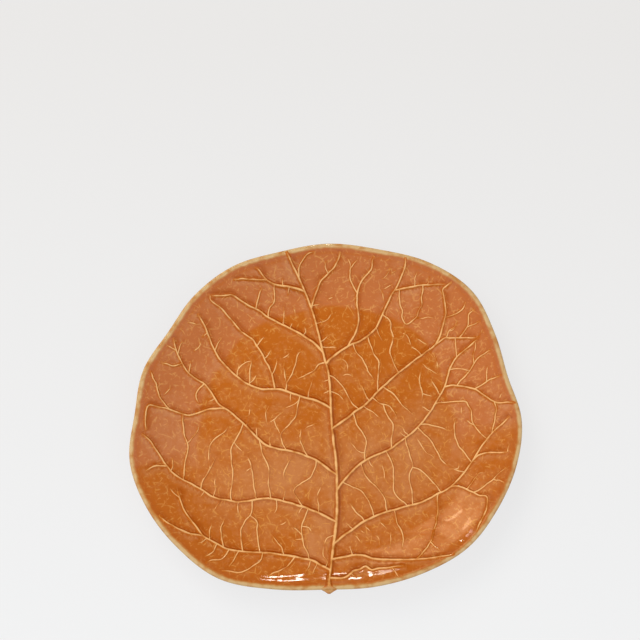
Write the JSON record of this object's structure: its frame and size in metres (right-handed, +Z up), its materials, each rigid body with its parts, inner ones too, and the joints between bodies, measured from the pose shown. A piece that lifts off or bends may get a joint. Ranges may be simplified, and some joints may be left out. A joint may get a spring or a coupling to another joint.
{
  "type": "leaf shaped plate",
  "caption": "Shallow glazed ceramic plate in the shape of a broad leaf, with raised veins, a rounded wavy rim, a short stalk and a foot ring, for serving food.",
  "frame": {"origin": "middle of the plate's outline at the level of the table that its foot stands on", "axes": "+Z up out of the dish, +Y from the stalk to the leaf's tip, +X across the leaf to the right"},
  "size_m": [0.28, 0.256, 0.0283],
  "materials": {
    "amber_glaze": "glossy translucent orange-brown glaze, darker where it pools",
    "thin_glaze": "glossy glaze worn thin to cream-tan on raised edges",
    "bare_clay": "matt unglazed cream clay"
  },
  "bodies": {
    "root": {"leaf_blade": "amber_glaze", "rim": "thin_glaze", "foot_ring": "bare_clay", "stalk": "thin_glaze", "midrib": "thin_glaze", "left_vein_1": "thin_glaze", "left_vein_2": "thin_glaze", "left_vein_3": "thin_glaze", "left_vein_4": "thin_glaze", "left_vein_5": "thin_glaze", "left_vein_6": "thin_glaze", "right_vein_1": "thin_glaze", "right_vein_2": "thin_glaze", "right_vein_3": "thin_glaze", "right_vein_4": "thin_glaze", "right_vein_5": "thin_glaze", "right_vein_6": "thin_glaze", "tip_fork": "thin_glaze", "left_forks": "thin_glaze", "right_forks": "thin_glaze", "left_cross_veins": "thin_glaze", "right_cross_veins": "thin_glaze"}
  },
  "joints": []
}
